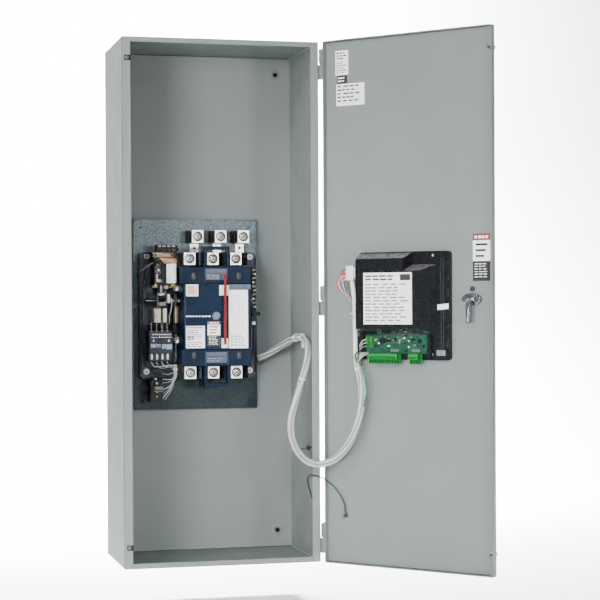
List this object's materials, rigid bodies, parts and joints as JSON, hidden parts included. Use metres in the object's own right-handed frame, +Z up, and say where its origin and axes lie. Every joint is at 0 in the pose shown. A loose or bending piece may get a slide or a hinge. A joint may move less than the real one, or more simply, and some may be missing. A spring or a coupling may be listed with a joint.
{
  "type": "automatic transfer switch",
  "caption": "Wall-mounted automatic transfer switch in a tall grey steel cabinet, with a hinged door that carries its controller, shown open.",
  "frame": {"origin": "centre of the cabinet's back face, which stands against the wall", "axes": "+Z up, +Y into the wall, so the cabinet's opening faces -Y, and +X to a viewer's right, where the door hangs"},
  "size_m": [0.7781, 0.6603, 1.2192],
  "materials": {
    "aux_contact_block": "moulded",
    "cabinet_hinge_leaf_bottom": "light grey powder paint",
    "cabinet_hinge_leaf_middle": "light grey powder paint",
    "cabinet_hinge_leaf_top": "light grey powder paint",
    "cabinet_shell": "light grey powder paint",
    "captive_screw_bottom": "plated",
    "captive_screw_top": "plated",
    "clip_nut_bottom": "moulded",
    "clip_nut_top": "moulded",
    "control_relay": "moulded",
    "controller_base": "moulded",
    "controller_board": "solder mask",
    "controller_cover": "moulded",
    "door_ground_stud": "plated",
    "door_hinge_leaf_bottom": "light grey powder paint",
    "door_hinge_leaf_middle": "light grey powder paint",
    "door_hinge_leaf_top": "light grey powder paint",
    "door_panel": "light grey powder paint",
    "drive_link": "zinc plated",
    "ground_wire": "extruded",
    "handle_clip_bottom": "moulded",
    "handle_clip_top": "moulded",
    "harness": "braided sleeve",
    "harness_breakout": "moulded",
    "harness_connector": "moulded",
    "harness_tie_mount": "moulded",
    "hinge_pin_bottom": "plated",
    "hinge_pin_middle": "plated",
    "hinge_pin_top": "plated",
    "latch_cam": "plated",
    "latch_escutcheon": "zinc plated",
    "latch_handle": "moulded",
    "load_lug_a": "satin",
    "load_lug_b": "satin",
    "load_lug_c": "satin",
    "lower_cover": "moulded",
    "lower_source_lug_a": "satin",
    "lower_source_lug_b": "satin",
    "lower_source_lug_c": "satin",
    "main_cover": "moulded",
    "main_shaft": "plated",
    "maintenance_handle": "dipped",
    "operator_panel": "moulded",
    "position_indicator": "moulded",
    "relay_armature": "moulded",
    "relay_terminal_block": "moulded",
    "solenoid_coil": "taped winding",
    "solenoid_core": "plated",
    "solenoid_frame": "plated",
    "switch_base": "moulded",
    "switch_mounting_plate": "zinc plated",
    "terminal_block_long": "moulded",
    "terminal_block_short": "moulded",
    "terminal_block_small": "moulded",
    "terminal_strip": "moulded",
    "test_button": "moulded",
    "upper_cover": "moulded",
    "upper_source_lug_a": "satin",
    "upper_source_lug_b": "satin",
    "upper_source_lug_c": "satin"
  },
  "bodies": {
    "cabinet": {"aux_contact_block": "aux_contact_block", "cabinet_hinge_leaf_bottom": "cabinet_hinge_leaf_bottom", "cabinet_hinge_leaf_middle": "cabinet_hinge_leaf_middle", "cabinet_hinge_leaf_top": "cabinet_hinge_leaf_top", "cabinet_shell": "cabinet_shell", "clip_nut_bottom": "clip_nut_bottom", "clip_nut_top": "clip_nut_top", "control_relay": "control_relay", "ground_wire": "ground_wire", "handle_clip_bottom": "handle_clip_bottom", "handle_clip_top": "handle_clip_top", "harness": "harness", "harness_tie_mount": "harness_tie_mount", "hinge_pin_bottom": "hinge_pin_bottom", "hinge_pin_middle": "hinge_pin_middle", "hinge_pin_top": "hinge_pin_top", "load_lug_a": "load_lug_a", "load_lug_b": "load_lug_b", "load_lug_c": "load_lug_c", "lower_cover": "lower_cover", "lower_source_lug_a": "lower_source_lug_a", "lower_source_lug_b": "lower_source_lug_b", "lower_source_lug_c": "lower_source_lug_c", "main_cover": "main_cover", "relay_terminal_block": "relay_terminal_block", "solenoid_coil": "solenoid_coil", "solenoid_frame": "solenoid_frame", "switch_base": "switch_base", "switch_mounting_plate": "switch_mounting_plate", "terminal_strip": "terminal_strip", "upper_cover": "upper_cover", "upper_source_lug_a": "upper_source_lug_a", "upper_source_lug_b": "upper_source_lug_b", "upper_source_lug_c": "upper_source_lug_c"},
    "door": {"controller_base": "controller_base", "controller_board": "controller_board", "controller_cover": "controller_cover", "door_ground_stud": "door_ground_stud", "door_hinge_leaf_bottom": "door_hinge_leaf_bottom", "door_hinge_leaf_middle": "door_hinge_leaf_middle", "door_hinge_leaf_top": "door_hinge_leaf_top", "door_panel": "door_panel", "harness_breakout": "harness_breakout", "harness_connector": "harness_connector", "latch_escutcheon": "latch_escutcheon", "operator_panel": "operator_panel", "terminal_block_long": "terminal_block_long", "terminal_block_short": "terminal_block_short", "terminal_block_small": "terminal_block_small"},
    "latch": {"latch_cam": "latch_cam", "latch_handle": "latch_handle"},
    "captive_screw_top": {"captive_screw_top": "captive_screw_top"},
    "captive_screw_bottom": {"captive_screw_bottom": "captive_screw_bottom"},
    "test_button": {"test_button": "test_button"},
    "contact_shaft": {"main_shaft": "main_shaft"},
    "core": {"drive_link": "drive_link", "solenoid_core": "solenoid_core"},
    "indicator": {"position_indicator": "position_indicator"},
    "armature": {"relay_armature": "relay_armature"},
    "manual_handle": {"maintenance_handle": "maintenance_handle"}
  },
  "joints": [
    {"name": "door_hinge", "type": "hinge", "parent": "cabinet", "child": "door", "pos_m": [0.237, -0.301, 0], "axis": [0, 0, 1], "range_deg": [-130, 39], "deforming": ["harness", "ground_wire"]},
    {"name": "latch_turn", "type": "hinge", "parent": "door", "child": "latch", "pos_m": [0.50442, -0.60725, 0.004], "axis": [-0.766, -0.6428, 0], "range_deg": [0, 90]},
    {"name": "captive_screw_top_turn", "type": "hinge", "parent": "door", "child": "captive_screw_top", "pos_m": [0.53656, -0.64556, 0.56], "axis": [-0.766, -0.6428, 0], "continuous": true},
    {"name": "captive_screw_bottom_turn", "type": "hinge", "parent": "door", "child": "captive_screw_bottom", "pos_m": [0.53656, -0.64556, -0.56], "axis": [-0.766, -0.6428, 0], "continuous": true},
    {"name": "test_button_press", "type": "slide", "parent": "door", "child": "test_button", "axis": [-0.766, -0.6428, 0], "range_m": [0, 0.002], "stiffness_N_per_m": 400, "springref_m": -0.002},
    {"name": "contact_shaft_turn", "type": "hinge", "parent": "cabinet", "child": "contact_shaft", "pos_m": [0, -0.08, 0.006], "axis": [-1, 0, 0], "range_deg": [0, 50]},
    {"name": "core_lift", "type": "slide", "parent": "cabinet", "child": "core", "axis": [0, 0, 1], "range_m": [0, 0.0136]},
    {"name": "indicator_turn", "type": "hinge", "parent": "cabinet", "child": "indicator", "pos_m": [0.0131, -0.1465, -0.0308], "axis": [0, -1, 0], "range_deg": [0, 90.5]},
    {"name": "armature_press", "type": "slide", "parent": "cabinet", "child": "armature", "axis": [0, 1, 0], "range_m": [0, 0.0025], "stiffness_N_per_m": 300, "springref_m": -0.001},
    {"name": "manual_handle_lift_off", "type": "slide", "parent": "cabinet", "child": "manual_handle", "axis": [0, -1, 0], "range_m": [0, 0.09]}
  ],
  "couplings": [
    {"joint": "core_lift", "follows": "contact_shaft_turn", "m_per_rad": 0.01547},
    {"joint": "indicator_turn", "follows": "contact_shaft_turn", "ratio": 1.8}
  ]
}
